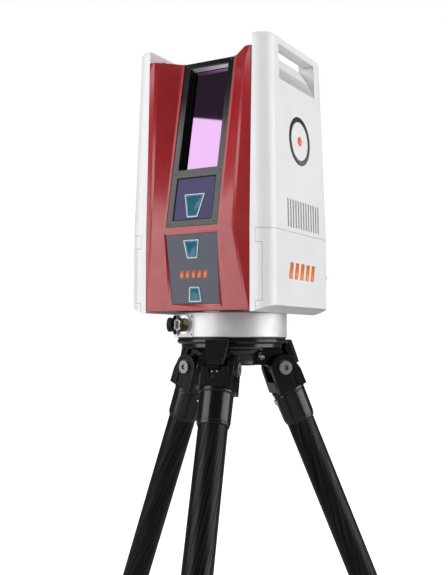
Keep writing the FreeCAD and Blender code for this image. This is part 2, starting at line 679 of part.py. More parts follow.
def leg_latch(leg):
    """The angle stop: a flanged shield whose top meets the platform's rim, on a tongue and a sliding stem."""
    face = [(-12, -3), (12, -3), (14.6, 7), (18, 37), (-18, 37), (-14.6, 7)]
    shield = softened(prism("YZ", face, "block_out + 0.4", 5.6), 4,
                      lambda edge: edge.CenterOfMass.z > 36.9 and edge.CenterOfMass.x > 30.9)
    flanges = [prism("XZ", [(25.8, 33), (22.5, 31), (17, 27), (17.5, 18), (21.5, 11), (25.8, 7)], start, 2.2)
               for start in (12.4, -14.6)]
    neck = slab((19.6, "block_out + 1"), (-6, 6), (-8, 2))
    tongue = prism("YZ", [(-7.6, -4), (-6, -22.9), (6, -22.9), (7.6, -4)], 19.6, 3.6)
    stem = slab((8, 20), (-5, 5), (-22.8, -18.4))
    node(f"leg_{leg}_latch", on_leg(join(shield, *flanges, neck, tongue, stem), leg))


def leg_tubes(leg):
    sleeve = turned([("tube_radius + 0.1", "sleeve_low"), (23.4, "sleeve_low"), (24.6, "sleeve_low + 3"),
                     (24.6, "sleeve_low + 5"), (25.3, "sleeve_low + 5.8"), (26, "block_low - 7"),
                     (25.2, "block_low - 6.2"), (25.2, "block_low - 5.2"), (27, "block_low - 4.4"),
                     (27, "block_low"), ("tube_radius + 0.1", "block_low")])
    node(f"leg_{leg}_sleeve", on_leg(sleeve, leg))
    upper = turned([("tube_radius - 2", "tube_low"), ("tube_radius", "tube_low"),
                    ("tube_radius", "block_low - 1"), ("tube_radius - 2", "block_low - 1")])
    node(f"leg_{leg}_upper_tube", on_leg(upper, leg))
    lock = turned([("inner_radius + 0.4", "lock_low"), (24, "lock_low"), (26.8, "lock_low + 4"),
                   (26.8, "lock_high - 5"), (25, "lock_high"), ("tube_radius + 0.4", "lock_high"),
                   ("tube_radius + 0.4", "tube_low - 1"), ("inner_radius + 0.4", "tube_low - 1")])
    node(f"leg_{leg}_twist_lock", on_leg(lock, leg))
    lower = turned([("inner_radius - 2", "inner_low"), ("inner_radius", "inner_low"),
                    ("inner_radius", "inner_high"), ("inner_radius - 2", "inner_high")])
    node(f"leg_{leg}_lower_tube", on_leg(lower, leg))


def leg_foot(leg):
    """A rubber foot with a ball end, pressed over the lower tube."""
    ball = doc.addObject("Part::Sphere", "ball")
    bind(ball, Radius="foot_radius")
    put(ball, (0, 0, "foot_level"))
    collar = rod("foot_radius", ("foot_level", "foot_level + 26"))
    body = cut(join(ball, collar), rod("inner_radius + 0.05", ("inner_low", "foot_level + 40")))
    node(f"leg_{leg}_foot", on_leg(body, leg))


# ---------------------------------------------------------------- the whole instrument
side_shells()
battery_doors()
vent_screens()
front_cover()
rear_cover()
top_cover()
window_frame()
indicator_lenses()
chassis()
scan_mirror()
electronics()
cooling_fan()
base()
connector_boss()
connector()
connector_cap()
tripod_head()
for leg in LEGS:
    leg_shoulder(leg)
    leg_latch(leg)
    leg_tubes(leg)
    leg_foot(leg)

doc.recompute()
for item in doc.Objects:
    if "Invalid" in item.State or "Error" in item.State:
        raise RuntimeError(f"{item.Name} ({item.Label}) failed: {item.State}")
for item in subparts:
    if item.Shape.isNull() or not item.Shape.isValid() or not item.Shape.Solids:
        raise RuntimeError(f"{item.Label} has no valid solid")
os.makedirs("parts", exist_ok=True)
for item in subparts:
    item.Shape.exportStep(f"parts/{item.Label}.step")
    box = item.Shape.BoundBox
    spans = "  ".join(f"{axis} {low:7.1f} {high:7.1f}" for axis, low, high in
                      (("x", box.XMin, box.XMax), ("y", box.YMin, box.YMax), ("z", box.ZMin, box.ZMax)))
    print(f"{item.Label:22s} {len(item.Shape.Solids)} solid(s) {item.Shape.Volume / 1000:8.1f} cm3  {spans}")
print(len(subparts), "sub-parts")
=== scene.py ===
import json
import math
from math import cos, pi, radians, sin

import bpy
from mathutils import Matrix, Vector


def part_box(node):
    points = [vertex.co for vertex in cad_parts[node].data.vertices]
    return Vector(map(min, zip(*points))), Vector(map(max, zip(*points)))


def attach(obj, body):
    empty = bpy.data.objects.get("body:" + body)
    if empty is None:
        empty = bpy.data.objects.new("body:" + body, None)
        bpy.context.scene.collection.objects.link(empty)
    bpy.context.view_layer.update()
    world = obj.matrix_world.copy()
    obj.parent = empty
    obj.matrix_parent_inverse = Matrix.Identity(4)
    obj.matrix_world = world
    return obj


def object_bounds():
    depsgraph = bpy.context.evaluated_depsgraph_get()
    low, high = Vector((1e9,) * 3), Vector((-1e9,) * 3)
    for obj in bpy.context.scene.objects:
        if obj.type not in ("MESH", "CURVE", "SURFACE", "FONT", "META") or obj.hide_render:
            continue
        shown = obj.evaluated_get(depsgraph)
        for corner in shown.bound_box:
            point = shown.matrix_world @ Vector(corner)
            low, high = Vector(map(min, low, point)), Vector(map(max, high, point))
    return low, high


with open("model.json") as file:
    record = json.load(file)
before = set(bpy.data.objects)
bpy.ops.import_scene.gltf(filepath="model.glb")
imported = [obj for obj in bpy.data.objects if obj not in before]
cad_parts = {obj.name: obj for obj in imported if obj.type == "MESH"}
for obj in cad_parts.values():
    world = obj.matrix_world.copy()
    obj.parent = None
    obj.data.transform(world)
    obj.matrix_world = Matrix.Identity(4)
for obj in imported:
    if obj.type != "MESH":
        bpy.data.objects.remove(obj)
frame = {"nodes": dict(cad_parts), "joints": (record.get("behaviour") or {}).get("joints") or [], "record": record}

# Looks for a laser scanner on a tripod. The scene is in metres with +Z up. The windows face -Y, and the
# origin is on the turning axis. Solids are drawn in millimetres and scaled when they are linked.
MM = 0.001
NODES = frame["nodes"]
JOINTS = {joint["name"]: joint for joint in frame["joints"]}
LEGS = (1, 2, 3)
cad_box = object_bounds()

# Sizes that the marks and fasteners are placed by, in millimetres
EMBLEM_LEVEL = 347
EMBLEM_RADIUS = 30
DOOR_MARK_LEVEL = 131
DOOR_LATCH_LEVEL = 142
FRAME_TOP = 271.7
COVER_SCREW_LEVELS = (216, 340, 462)
RING_FACE = 87.4
RING_SCREW_LEVEL = 56
YOKE_REACH = 17.3
TUBE_RADIUS = 22.2
EAR_FACE = 28
ARM_PIN_PLACE = (47, 12, 0)
LATCH_STUD_PLACE = (23.2, -12.6)
CLAMP_SCREW_PLACE = (-25.2, 0, -50)


# ------------------------------------------------------------------ solids as (points, faces)
def ring(radius, level, count=64, sides=0, wave=None):
    """A closed loop at one level: round, many-sided when sides is given, or waved by a function of angle."""
    points = []
    for i in range(count):
        angle = 2 * pi * i / count
        reach = radius
        if sides:
            step = 2 * pi / sides
            reach = radius * cos(step / 2) / cos(angle % step - step / 2)
        if wave:
            reach += wave(angle)
        points.append(Vector((reach * cos(angle), reach * sin(angle), level)))
    return points


def skinned(loops, closed=False):
    """Faces from each loop to the next; the ends are filled, or joined to each other when closed."""
    count = len(loops[0])
    points = [point for loop in loops for point in loop]
    faces = []
    pairs = len(loops) if closed else len(loops) - 1
    for k in range(pairs):
        a, b = k * count, (k + 1) % len(loops) * count
        for i in range(count):
            j = (i + 1) % count
            faces.append((a + i, a + j, b + j, b + i))
    if not closed:
        last = (len(loops) - 1) * count
        faces.append(tuple(reversed(range(count))))
        faces.append(tuple(range(last, last + count)))
    return points, faces


def lathe(profile, count=64, closed=False, wave=None):
    """A profile of (radius, level) pairs from the bottom up, turned about Z."""
    return skinned([ring(r, z, count, wave=wave) for r, z in profile], closed)


def prism(outline, low, high, chamfer=0.0):
    """An outline of (x, y) pairs, counter-clockwise, from low to high, its upper edge chamfered."""
    loops = [[Vector((x, y, low)) for x, y in outline]]
    if chamfer:
        loops.append([Vector((x, y, high - chamfer)) for x, y in outline])
        loops.append([Vector((x, y, high)) for x, y in inset(outline, chamfer)])
    else:
        loops.append([Vector((x, y, high)) for x, y in outline])
    return skinned(loops)


def inset(outline, amount):
    """The outline moved inwards, or outwards for a negative amount."""
    count = len(outline)
    result = []
    for i in range(count):
        before, here, after = (Vector(outline[(i + k) % count]) for k in (-1, 0, 1))
        a, b = (here - before).normalized(), (after - here).normalized()
        na, nb = Vector((-a.y, a.x)), Vector((-b.y, b.x))
        mitre = (na + nb).normalized()
        result.append(tuple(here + mitre * amount / max(0.3, mitre.dot(na))))
    return result


def rounded(corners, radius, steps=6):
    """A polygon with its corners rounded."""
    count = len(corners)
    result = []
    for i in range(count):
        before, here, after = (Vector(corners[(i + k) % count]) for k in (-1, 0, 1))
        a, b = (before - here).normalized(), (after - here).normalized()
        half = a.angle(b) / 2
        reach = min(radius / math.tan(half), 0.45 * (before - here).length, 0.45 * (after - here).length)
        real = reach * math.tan(half)
        centre = here + (a + b).normalized() * real / sin(half)
        start, end = here + a * reach - centre, here + b * reach - centre
        turn = start.angle_signed(end)
        for k in range(steps + 1):
            angle = -turn * k / steps
            spot = centre + Matrix.Rotation(angle, 2) @ start
            result.append((spot.x, spot.y))
    return result


def rectangle(x0, x1, y0, y1, radius=0.0, steps=6):
    corners = [(x0, y0), (x1, y0), (x1, y1), (x0, y1)]
    return rounded(corners, radius, steps) if radius else corners


def border(outline, width, low, high, chamfer=0.0):
    """A raised border that follows an outline on its outer side."""
    outer = inset(outline, -width)
    loops = [[Vector((x, y, low)) for x, y in outline], [Vector((x, y, low)) for x, y in outer]]
    if chamfer:
        loops.append([Vector((x, y, high - chamfer)) for x, y in outer])
        loops.append([Vector((x, y, high)) for x, y in inset(outer, chamfer)])
        loops.append([Vector((x, y, high)) for x, y in inset(outline, -chamfer)])
        loops.append([Vector((x, y, high - chamfer)) for x, y in outline])
    else:
        loops.append([Vector((x, y, high)) for x, y in outer])
        loops.append([Vector((x, y, high)) for x, y in outline])
    return skinned(loops, closed=True)


def moved(solid, matrix):
    points, faces = solid
    return [matrix @ point for point in points], faces


def together(*solids):
    points, faces = [], []
    for some, their in solids:
        faces += [tuple(i + len(points) for i in face) for face in their]
        points += some
    return points, faces


def socket_screw(radius, height, key):
    """A cylinder head with a chamfered rim and a hexagonal socket; its seat is at level 0."""
    count = 48
    rim = 0.18 * radius
    head = [ring(radius, 0, count), ring(radius, height - rim, count), ring(radius - rim, height, count)]
    socket = [ring(key * 1.12, height, count), ring(key, height - 0.12 * radius, count, sides=6),
              ring(key, height * 0.35, count, sides=6), ring(key * 0.4, height * 0.25, count)]
    return skinned(head + socket)


# ------------------------------------------------------------------ places read from the frame
def corner_points(node):
    mesh = NODES[node].data
    return mesh, [vertex.co.copy() for vertex in mesh.vertices]


def flat(node, towards):
    """The place of a node's largest flat face that looks that way: X across, Y up, Z out of it.
    Its origin is the middle of the face's lowest edge."""
    mesh, points = corner_points(node)
    towards = Vector(towards).normalized()
    groups = {}
    for polygon in mesh.polygons:
        if polygon.normal.dot(towards) > 0.97:
            offset = polygon.normal.dot(points[polygon.vertices[0]])
            key = tuple(round(v, 2) for v in polygon.normal) + (round(offset, 3),)
            group = groups.setdefault(key, [0.0, Vector(), []])
            group[0] += polygon.area
            group[1] += polygon.normal * polygon.area
            group[2] += [points[i] for i in polygon.vertices]
    area, normal, spots = max(groups.values(), key=lambda group: group[0])
    z = normal.normalized()
    x = Vector((0, 0, 1)).cross(z).normalized()
    y = z.cross(x)
    across = [spot.dot(x) for spot in spots]
    low = min(spot.dot(y) for spot in spots)
    middle = (min(across) + max(across)) / 2
    origin = x * middle + y * low + z * spots[0].dot(z)
    place = Matrix((x, y, z)).transposed().to_4x4()
    place.translation = origin
    return place


def islands(node):
    """The node's separate solids, each as its points."""
    mesh, points = corner_points(node)
    parent = {}

    def root(key):
        while parent.setdefault(key, key) != key:
            key = parent[key]
        return key

    keys = [tuple(round(v, 6) for v in point) for point in points]
    for edge in mesh.edges:
        a, b = (root(keys[i]) for i in edge.vertices)
        if a != b:
            parent[a] = b
    found = {}
    for key, point in zip(keys, points):
        found.setdefault(root(key), {})[key] = point
    return [list(group.values()) for group in found.values()]


def hull(points):
    """The convex outline of (x, y) pairs, counter-clockwise."""
    points = sorted(set((round(x, 6), round(y, 6)) for x, y in points))
    sides = []
    for order in (points, points[::-1]):
        side = []
        for point in order:
            while len(side) > 1:
                (ax, ay), (bx, by) = side[-2:]
                if (bx - ax) * (point[1] - ay) - (by - ay) * (point[0] - ax) > 1e-10:
                    break
                side.pop()
            side.append(point)
        sides += side[:-1]
    return sides


def pose_matrix(origin, z, x_hint):
    """A place whose Z looks along z and whose X is as near to x_hint as it can be."""
    z = Vector(z).normalized()
    x_hint = Vector(x_hint)
    x = (x_hint - z * x_hint.dot(z)).normalized()
    place = Matrix((x, z.cross(x), z)).transposed().to_4x4()
    place.translation = Vector(origin)
    return place


def leg_place(leg):
    """A leg's own place: origin on its hinge, Z up the leg, X away from the tripod's middle."""
    along = -Vector(JOINTS[f"leg_{leg}_extend"]["axis"])
    hinge = Vector(JOINTS[f"leg_{leg}_fold"]["pos_m"])
    return pose_matrix(hinge, along, (hinge.x, hinge.y, 0))


def arm_place(leg):
    """The upright place of a leg's hinge: X away from the middle, Z up, origin on the turning axis."""
    hinge = Vector(JOINTS[f"leg_{leg}_fold"]["pos_m"])
    return pose_matrix((0, 0, 0), (0, 0, 1), (hinge.x, hinge.y, 0))


# ------------------------------------------------------------------ materials
class Paint:
    """A material on one Principled shader, with small steps for noise, colour, roughness and bump."""

    def __init__(self, name, colour, roughness, metallic=0.0, **sockets):
        self.material = bpy.data.materials.new(name)
        self.material.use_nodes = True
        self.tree = self.material.node_tree
        self.shader = next(n for n in self.tree.nodes if n.type == "BSDF_PRINCIPLED")
        self.colour, self.roughness = colour, roughness
        self.set("Base Color", (*colour, 1))
        self.set("Roughness", roughness)
        self.set("Metallic", metallic)
        for socket, value in sockets.items():
            self.set(socket.replace("_", " "), value)
        self.position = self.node("ShaderNodeTexCoord").outputs["Object"]
        self.material.diffuse_color = (*colour, 1)

    def set(self, socket, value):
        self.shader.inputs[socket].default_value = value

    def node(self, kind, **values):
        made = self.tree.nodes.new(kind)
        for key, value in values.items():
            if key in made.inputs:
                made.inputs[key].default_value = value
            else:
                setattr(made, key, value)
        return made

    def link(self, source, target):
        self.tree.links.new(source, target)
        return source

    def noise(self, scale, detail=3.0, vector=None, stretch=None):
        texture = self.node("ShaderNodeTexNoise", Scale=scale, Detail=detail)
        vector = vector or self.position
        if stretch:
            mapping = self.node("ShaderNodeMapping")
            mapping.inputs["Scale"].default_value = stretch
            self.link(vector, mapping.inputs["Vector"])
            vector = mapping.outputs["Vector"]
        self.link(vector, texture.inputs["Vector"])
        return texture.outputs["Fac"]

    def span(self, value, low, high, start=0.3, end=0.7):
        """A value from start to end spread over low to high."""
        spread = self.node("ShaderNodeMapRange")
        for name, number in (("From Min", start), ("From Max", end), ("To Min", low), ("To Max", high)):
            spread.inputs[name].default_value = number
        self.link(value, spread.inputs["Value"])
        return spread.outputs["Result"]

    def math(self, operation, a, b=None):
        step = self.node("ShaderNodeMath", operation=operation)
        for socket, value in zip(step.inputs, (a, b)):
            if value is None:
                continue
            if isinstance(value, (int, float)):
                socket.default_value = value
            else:
                self.link(value, socket)
        return step.outputs[0]

    def mixed(self, share, first, second):
        """One colour or the other by a share; each is a colour or a socket."""
        mix = self.node("ShaderNodeMix", data_type="RGBA")
        self.link(share, mix.inputs[0])
        for socket, value in ((mix.inputs[6], first), (mix.inputs[7], second)):
            if isinstance(value, tuple):
                socket.default_value = (*value, 1)
            else:
                self.link(value, socket)
        return mix.outputs[2]

    def mottled(self, scale, amount):
        """Slow change of the colour over the surface."""
        dark = tuple(c * (1 - amount) for c in self.colour)
        light = tuple(min(1.0, c * (1 + amount)) for c in self.colour)
        self.tint = self.mixed(self.span(self.noise(scale), 0, 1), dark, light)
        self.link(self.tint, self.shader.inputs["Base Color"])
        return self

    def wear_and_edge_highlight(self, colour, amount):
        """Edges turned towards another colour: rubbed wear on the lacquers, and a painted highlight on the dark
        castings, plastics and rubber.
        """
        edge = self.node("ShaderNodeNewGeometry").outputs["Pointiness"]
        patch = self.span(self.noise(160, 5), 0.2, 1)
        share = self.math("MULTIPLY", self.span(edge, 0, amount, 0.53, 0.62), patch)
        self.tint = self.mixed(share, getattr(self, "tint", self.colour), colour)
        self.link(self.tint, self.shader.inputs["Base Color"])
        return self

    def uneven(self, scale, low, high):
        """Roughness that changes over the surface."""
        self.link(self.span(self.noise(scale, 4.0), low, high), self.shader.inputs["Roughness"])
        return self

    def grained(self, height, scale, strength=0.5):
        """A fine relief; height is in metres."""
        return self.raised(self.noise(scale, 2.0), height, strength)

    def raised(self, value, height, strength=0.5):
        bump = self.node("ShaderNodeBump", Strength=strength, Distance=height)
        self.link(value, bump.inputs["Height"])
        if self.shader.inputs["Normal"].is_linked:
            self.link(self.shader.inputs["Normal"].links[0].from_socket, bump.inputs["Normal"])
        self.link(bump.outputs["Normal"], self.shader.inputs["Normal"])
        return self


def lacquer(name, colour, roughness, grain, coat, edge, coat_roughness=0.08):
    paint = Paint(name, colour, roughness, Coat_Weight=coat, Coat_Roughness=coat_roughness)
    paint.mottled(9, 0.025).wear_and_edge_highlight(edge, amount=0.25).uneven(45, roughness * 0.85, roughness * 1.2)
    return paint.grained(grain, 1500, strength=0.25)


def metal(name, colour, roughness, grain=0.00002, scale=2500.0):
    paint = Paint(name, colour, roughness, metallic=1.0)
    paint.mottled(30, 0.05).uneven(120, roughness * 0.8, roughness * 1.25)
    return paint.grained(grain, scale, strength=0.35)


def casting(name, colour, roughness, edge, specular=0.35):
    paint = Paint(name, colour, roughness, Specular_IOR_Level=specular)
    # On these dark finishes the edge colour is lighter than the base: a painted highlight along the edges.
    paint.mottled(40, 0.25).wear_and_edge_highlight(edge, amount=0.6).uneven(60, roughness * 0.9, roughness * 1.1)
    return paint.grained(0.00002, 1800, strength=0.1)


def turned_metal(name, colour, roughness):
    """Metal with faint turning lines round the upright axis."""
    paint = Paint(name, colour, roughness, metallic=0.5, Specular_IOR_Level=0.3)
    paint.mottled(14, 0.03).uneven(60, roughness * 0.9, roughness * 1.15)
    lines = paint.noise(1.0, 2, stretch=(6, 6, 5200))
    paint.raised(lines, 0.000012, 0.35)
    return paint.grained(0.00001, 4000, strength=0.3)


def carbon(leg):
    """Woven fibre under satin resin, wrapped round a leg's own axis."""
    paint = Paint(f"carbon_{leg}", (0.006, 0.006, 0.007), 0.36, Coat_Weight=0.03, Coat_Roughness=0.15)
    place = leg_place(leg)
    local = paint.node("ShaderNodeMapping", vector_type="TEXTURE")
    local.inputs["Location"].default_value = place.translation
    local.inputs["Rotation"].default_value = place.to_euler()
    paint.link(paint.position, local.inputs["Vector"])
    axes = paint.node("ShaderNodeSeparateXYZ")
    paint.link(local.outputs["Vector"], axes.inputs["Vector"])
    angle = paint.math("ARCTAN2", axes.outputs["Y"], axes.outputs["X"])
    around = paint.math("MULTIPLY", angle, TUBE_RADIUS * MM)
    twist = paint.math("MULTIPLY", axes.outputs["Z"], 0.16)
    spiral = paint.node("ShaderNodeCombineXYZ")
    paint.link(paint.math("SUBTRACT", around, twist), spiral.inputs["X"])
    paint.link(paint.math("SUBTRACT", axes.outputs["Z"], around), spiral.inputs["Y"])
    tows = paint.noise(1.0, 4, spiral.outputs["Vector"], (520, 11, 1))
    weave = paint.noise(1.0, 2, spiral.outputs["Vector"], (150, 480, 1))
    share = paint.span(tows, 0, 1, 0.35, 0.68)
    tint = paint.mixed(share, (0.001, 0.001, 0.0013), (0.013, 0.013, 0.0145))
    paint.link(paint.span(share, 0.08, 0.24), paint.shader.inputs["Specular IOR Level"])
    paint.link(tint, paint.shader.inputs["Base Color"])
    paint.link(paint.span(weave, 0.27, 0.46), paint.shader.inputs["Roughness"])
    return paint.raised(tows, 0.00005, 0.4)


def pane(name, colour, roughness, metallic, coat=0.0, specular=0.5):
    paint = Paint(name, colour, roughness, metallic=metallic, Coat_Weight=coat, Coat_Roughness=0.02,
                  Specular_IOR_Level=specular)
    return paint.mottled(6, 0.03).uneven(20, roughness * 0.7, roughness * 1.4)


def circuit_board():
    paint = Paint("board", (0.012, 0.12, 0.05), 0.4)
    tracks = paint.node("ShaderNodeTexBrick", Scale=90.0)
    paint.link(paint.position, tracks.inputs["Vector"])
    paint.link(paint.mixed(tracks.outputs["Fac"], (0.012, 0.12, 0.05), (0.03, 0.22, 0.09)),
               paint.shader.inputs["Base Color"])
    return paint.uneven(200, 0.3, 0.55).grained(0.00005, 900)


def screen_mesh():
    """A black fly screen: round holes in a close pattern."""
    paint = Paint("screen_mesh", (0.02, 0.02, 0.022), 0.5)
    holes = paint.node("ShaderNodeTexVoronoi", Scale=620.0, Randomness=0.0)
    paint.link(paint.position, holes.inputs["Vector"])
    wall = paint.span(holes.outputs["Distance"], 0, 1, 0.25, 0.45)
    tint = paint.mixed(wall, (0.004, 0.004, 0.004), (0.05, 0.05, 0.052))
    paint.link(tint, paint.shader.inputs["Base Color"])
    return paint.raised(wall, 0.0003, 0.7)


def dotted():
    """Pale anti-slip moulding: small round dimples in rows."""
    paint = Paint("dotted_grip", (0.60, 0.60, 0.605), 0.5)
    axes, rows = paint.node("ShaderNodeSeparateXYZ"), paint.node("ShaderNodeCombineXYZ")
    paint.link(paint.position, axes.inputs["Vector"])
    paint.link(axes.outputs["Y"], rows.inputs["X"])
    paint.link(axes.outputs["Z"], rows.inputs["Y"])
    dots = paint.node("ShaderNodeTexVoronoi", voronoi_dimensions="2D", Scale=300.0, Randomness=0.0)
    paint.link(rows.outputs["Vector"], dots.inputs["Vector"])
    wall = paint.span(dots.outputs["Distance"], 0, 1, 0.24, 0.36)
    # The dimples are coloured darker than the moulding around them: painted shade in the hollows.
    paint.link(paint.mixed(wall, (0.30, 0.30, 0.31), (0.60, 0.60, 0.61)), paint.shader.inputs["Base Color"])
    return paint.uneven(90, 0.42, 0.6).raised(wall, 0.0004, 0.6)


LOOKS = {
    "white_shell": lacquer("white_lacquer", (0.80, 0.80, 0.815), 0.38, 0.00003, 0.12, (0.66, 0.66, 0.66)),
    "red_cover": lacquer("red_lacquer", (0.36, 0.005, 0.010), 0.42, 0.000008, 0.55, (0.36, 0.05, 0.06), 0.24),
    "frame_black": pane("frame_black", (0.008, 0.008, 0.010), 0.13, 0.0).grained(0.00001, 900, strength=0.2),
    "coated_glass": pane("coated_glass", (0.29, 0.180, 0.31), 0.02, 1.0),
    "purple_glass": pane("purple_glass", (0.028, 0.022, 0.110), 0.06, 0.0, specular=0.22),
    "panel_gloss": pane("panel_gloss", (0.020, 0.025, 0.055), 0.12, 0.0, specular=0.42),
    "teal_lens": pane("teal_lens", (0.035, 0.16, 0.22), 0.16, 0.0, specular=0.3),
    "satin_aluminium": turned_metal("satin_aluminium", (0.65, 0.65, 0.66), 0.46),
    "connector_shell": metal("nickel", (0.58, 0.56, 0.52), 0.22),
    # The casting's lighter edge colour (0.11) is a painted highlight along its edges.
    "black_casting": casting("black_casting", (0.004, 0.0042, 0.005), 0.21, (0.11, 0.11, 0.12), 0.5),
    "dark_metal": metal("dark_metal", (0.09, 0.09, 0.10), 0.38),
    "dark_plastic": casting("dark_plastic", (0.016, 0.016, 0.018), 0.5, (0.05, 0.05, 0.05)),
    "steel": metal("steel", (0.66, 0.66, 0.67), 0.24),
    "contact_brass": metal("contact_gold", (0.78, 0.58, 0.24), 0.22),
    "black_rubber": casting("black_rubber", (0.010, 0.010, 0.011), 0.62, (0.04, 0.04, 0.04)),
    "mirror_facets": pane("mirror_facets", (0.92, 0.92, 0.93), 0.02, 1.0),
    "display_glass": pane("display_glass", (0.006, 0.007, 0.010), 0.06, 0.0, 0.7),
    "board_green": circuit_board(),
}
CARBON = {leg: carbon(leg) for leg in LEGS}
SCREEN = screen_mesh()
DOTTED = dotted()
BOLT = metal("bolt_steel", (0.30, 0.30, 0.31), 0.46, 0.00004, 1400.0)
# A pale finish whose colour is painted light: the recess ceiling as lit from below.
PAINTED_CEILING_LIGHT = lacquer("painted_ceiling_light", (0.85, 0.85, 0.86), 0.5, 0.00001, 0.0, (0.8, 0.8, 0.8))
PALE_RIM = lacquer("pale_rim", (0.62, 0.68, 0.72), 0.3, 0.00001, 0.4, (0.8, 0.8, 0.8))
ORANGE = lacquer("orange_print", (0.80, 0.17, 0.02), 0.4, 0.00001, 0.2, (0.7, 0.3, 0.1))
INK = lacquer("dark_print", (0.025, 0.025, 0.032), 0.4, 0.00001, 0.2, (0.1, 0.1, 0.1))


# ------------------------------------------------------------------ CAD nodes: finish and softened edges
SLOT_OF = {row["node"]: row["material_slot"] for row in frame["record"]["subparts"]}
ROUND_EDGES = {"front_cover": 1.6, "side_shell_right": 0.7, "side_shell_left": 0.7, "window_frame": 0.7,
               "rear_cover": 1.4, "top_cover": 0.7}
ROUND_EDGES.update({f"leg_{leg}_{part}": width for leg in LEGS
                    for part, width in (("shoulder", 1.3), ("latch", 0.9))})
DEFAULT_ROUND = 0.5
SPECIAL = {"vent_screens": SCREEN, "hinge_bolts": BOLT}


def soften(item, width):
    """Rounds the sharp edges, without touching the mesh itself."""
    weld = item.modifiers.new("weld", "WELD")
    weld.merge_threshold = 0.000002
    bevel = item.modifiers.new("round", "BEVEL")
    bevel.width = width * MM
    bevel.segments = 3
    bevel.limit_method = "ANGLE"
    bevel.angle_limit = radians(28)
    bevel.use_clamp_overlap = True
    bevel.miter_outer = "MITER_ARC"
    normals = item.modifiers.new("shading", "WEIGHTED_NORMAL")
    normals.keep_sharp = False
    for polygon in item.data.polygons:
        polygon.use_smooth = True


def dress_nodes():
    for name, item in NODES.items():
        paint = LOOKS.get(SLOT_OF[name])
        if "_tube" in name:
            paint = CARBON[int(name.split("_")[1])]
        elif name in SPECIAL:
            paint = SPECIAL[name]
        item.data.materials.clear()
        item.data.materials.append(paint.material)
        if item.data.has_custom_normals:
            with bpy.context.temp_override(object=item, active_object=item):
                bpy.ops.mesh.customdata_custom_splitnormals_clear()
        soften(item, ROUND_EDGES.get(name, DEFAULT_ROUND))


def piece(name, solid, body, slot, look=None, place=None):
    """Links a solid as a named piece on its body. The solid is in millimetres, the place in metres."""
    points, faces = solid
    mesh = bpy.data.meshes.new(name)
    mesh.from_pydata([point * MM for point in points], [], faces)
    if place:
        mesh.transform(place)
    mesh.validate()
    mesh.update()
    item = bpy.data.objects.new(name, mesh)
    bpy.context.scene.collection.objects.link(item)
    mesh.materials.append((look or LOOKS[slot]).material)
    for polygon in mesh.polygons:
        polygon.use_smooth = True
    shading = item.modifiers.new("shading", "WEIGHTED_NORMAL")
    shading.keep_sharp = False
    split = item.modifiers.new("sharp", "EDGE_SPLIT")
    split.split_angle = radians(32)
    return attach(item, body)


def at(x, y, z, spin=0.0):
    """A place inside a solid's own drawing, in millimetres."""
    return Matrix.Translation((x, y, z)) @ Matrix.Rotation(radians(spin), 4, "Z")


def metres(place):
    """The same place with its origin in millimetres, so solids can be gathered before they are scaled."""
    copy = place.copy()
    copy.translation = place.translation / MM
    return copy


# ------------------------------------------------------------------ head: windows, marks and screws
def lens_rims(face_places):
    for k, (points, place) in enumerate(face_places, 1):
        back = place.inverted()
        local = [back @ point for point in points]
        top = max(point.z for point in local)
        front = hull([(point.x / MM, point.y / MM) for point in local if point.z > top - 0.0001])
        line = rounded(front, 1.6)
        rim = border(inset(line, 1.5), 1.5, top / MM - 0.5, top / MM + 0.35, 0.15)
        piece(f"lens_rim_{k}", rim, "head", "teal_lens", PALE_RIM, place)
        glow = prism(rounded(inset(front, 3.4), 1.2), top / MM - 0.3, top / MM + 0.15, 0.1)
        piece(f"lens_core_{k}", glow, "head", "teal_lens", LENS_CORE, place)


def slanted_bars(widths, height, gap, low):
    """A plain generic mark: upright slanted bars side by side."""
    lean = height * 0.22
    total = sum(widths) + gap * (len(widths) - 1)
    x = -total / 2
    solids = []
    for width in widths:
        corners = [(x - lean / 2, low), (x + width - lean / 2, low), (x + width + lean / 2, low + height),
                   (x + lean / 2, low + height)]
        solids.append(prism(rounded(corners, 0.7, 3), -0.05, 0.18))
        x += width + gap
    return together(*solids)


def circle(radius, count):
    return [(radius * cos(2 * pi * i / count), radius * sin(2 * pi * i / count)) for i in range(count)]


def marks():
    panel = flat("lower_panel", (0, -1, -0.1))
    piece("panel_mark", slanted_bars([6] * 5, 11, 4.2, 39), "head", "panel_gloss", ORANGE, panel)
    for side, name in ((1, "right"), (-1, "left")):
        door = flat(f"battery_door_{name}", (side, 0, 0))
        foot = DOOR_MARK_LEVEL - door.translation.z / MM
        piece(f"door_mark_{name}", slanted_bars([12] * 5, 25, 7.5, foot), f"door_{name}",
              "white_shell", ORANGE, door)
        shell = flat(f"side_shell_{name}", (side, 0, 0.02))
        centre = at(0, EMBLEM_LEVEL - shell.translation.z / MM, 0)
        ring_mark = moved(border(circle(EMBLEM_RADIUS, 96), 8, -0.05, 0.18), centre)
        piece(f"shell_mark_{name}", ring_mark, "head", "white_shell", INK, shell)
        dot = moved(lathe([(7.5, -0.05), (7.5, 0.2)], 64), centre)
        piece(f"shell_dot_{name}", dot, "head", "white_shell", ORANGE, shell)


